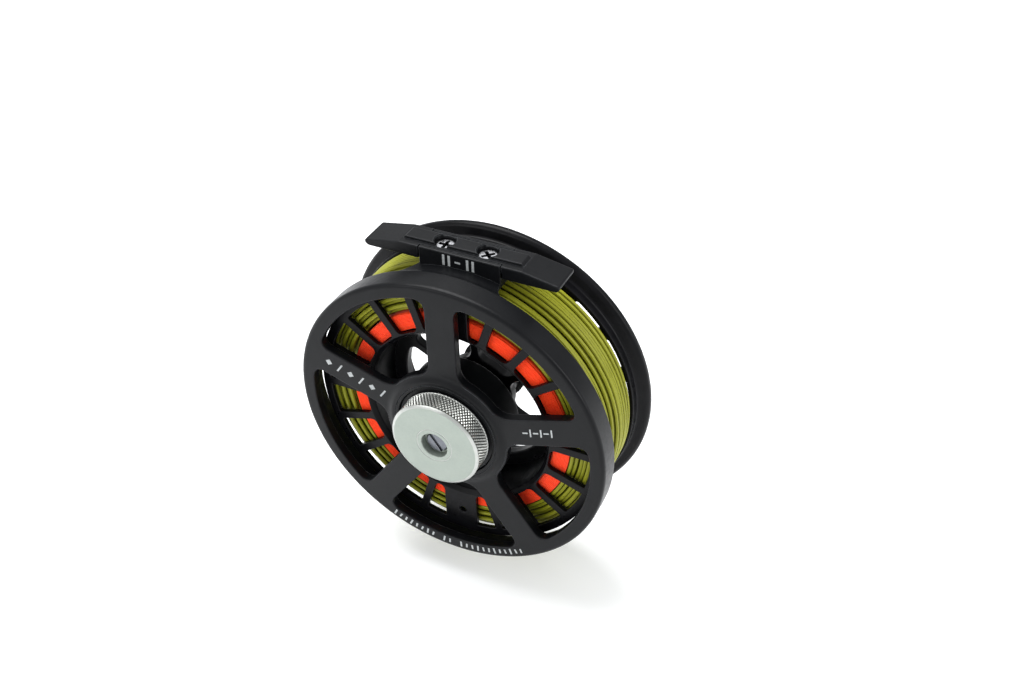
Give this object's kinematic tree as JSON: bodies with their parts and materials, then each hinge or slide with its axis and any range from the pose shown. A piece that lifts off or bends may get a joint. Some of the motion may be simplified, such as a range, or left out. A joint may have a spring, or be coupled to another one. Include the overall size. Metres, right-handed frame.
{
  "type": "fly reel",
  "caption": "Large-arbor fly reel with an open machined frame, sealed disc drag, knurled drag knob, vented spool with palming rim, and a rod foot.",
  "frame": {"origin": "middle of the foot's top seating face", "axes": "+Z out of the foot's seating face towards the rod, +Y along the spool axis from the drag knob to the handle, +X along the rod"},
  "size_m": [0.1074, 0.0631, 0.1103],
  "materials": {
    "anodised_black": "satin black anodised, machined",
    "knob_silver": "fine bead-blasted face, bright diamond knurl",
    "bright_steel": "turned and polished stainless",
    "dark_steel": "hardened, darker steel",
    "carbon_disc": "woven carbon friction disc",
    "seal_rubber": "matte",
    "bronze": "turned bearing bronze",
    "handle_resin": "satin moulded",
    "backing": "braided fluorescent orange backing",
    "fly_line": "semi-gloss coated olive line"
  },
  "bodies": {
    "frame_assembly": {"frame": "anodised_black", "reel_foot": "anodised_black", "foot_screw_left": "bright_steel", "foot_screw_right": "bright_steel", "knob_screw": "bright_steel", "knob_seal": "seal_rubber", "spindle": "bright_steel", "spindle_nut": "dark_steel", "thrust_ring": "dark_steel", "disc_spring": "bright_steel", "pressure_plate": "bright_steel", "friction_disc_front": "carbon_disc", "friction_disc_rear": "carbon_disc", "backing_plate": "bright_steel", "housing_cap": "anodised_black", "shaft_seal": "seal_rubber", "housing_circlip": "bright_steel", "pawl_pin": "bright_steel", "pawl_spring": "bright_steel", "pawl_spring_screw": "dark_steel", "front_bearing_inner_race": "bright_steel", "rear_bearing_inner_race": "bright_steel"},
    "drag_knob": {"drag_knob": "knob_silver"},
    "adjuster": {"adjuster_nut": "bronze", "push_pin_1": "bright_steel", "push_pin_2": "bright_steel", "push_pin_3": "bright_steel"},
    "rotor": {"drag_rotor": "dark_steel", "one_way_clutch": "bright_steel"},
    "click_pawl": {"click_pawl": "bright_steel"},
    "spool": {"spool": "anodised_black", "drive_hub": "dark_steel", "click_gear": "bronze", "front_bearing_outer_race": "bright_steel", "front_bearing_ball_cage": "bronze", "bearing_spacer": "dark_steel", "rear_bearing_outer_race": "bright_steel", "rear_bearing_ball_cage": "bronze", "backing_winding": "backing", "fly_line_winding": "fly_line", "hub_cap": "anodised_black", "latch_spring": "bright_steel", "handle_post": "bright_steel", "handle_washer": "bronze", "counterweight": "bright_steel", "counterweight_screw": "bright_steel"},
    "release_latch": {"release_latch": "knob_silver"},
    "handle_knob": {"handle_knob": "handle_resin"}
  },
  "joints": [
    {"name": "spool_spin", "type": "hinge", "parent": "frame_assembly", "child": "spool", "pos_m": [0, 0, -0.0566], "axis": [0, 1, 0], "continuous": true},
    {"name": "rotor_spin", "type": "hinge", "parent": "frame_assembly", "child": "rotor", "pos_m": [0, 0, -0.0566], "axis": [0, 1, 0], "continuous": true},
    {"name": "drag_knob_turn", "type": "hinge", "parent": "frame_assembly", "child": "drag_knob", "pos_m": [0, 0, -0.0566], "axis": [0, 1, 0], "range_deg": [0, 330]},
    {"name": "adjuster_slide", "type": "slide", "parent": "frame_assembly", "child": "adjuster", "axis": [0, 1, 0], "range_m": [0, 0.0006]},
    {"name": "click_pawl_rock", "type": "hinge", "parent": "frame_assembly", "child": "click_pawl", "pos_m": [0, 0, -0.069], "axis": [0, 1, 0], "range_deg": [-12, 0], "stiffness_Nm_per_rad": 0.02, "springref_deg": 5.73},
    {"name": "release_slide", "type": "slide", "parent": "spool", "child": "release_latch", "axis": [-1, 0, 0], "range_m": [0, 0.0034], "stiffness_N_per_m": 300, "springref_m": -0.002},
    {"name": "handle_spin", "type": "hinge", "parent": "spool", "child": "handle_knob", "pos_m": [-0.01884, 0, -0.09358], "axis": [0, 1, 0], "continuous": true}
  ],
  "couplings": [
    {"joint": "rotor_spin", "follows": "spool_spin", "ratio": 1},
    {"joint": "adjuster_slide", "follows": "drag_knob_turn", "m_per_rad": 0.0001}
  ]
}
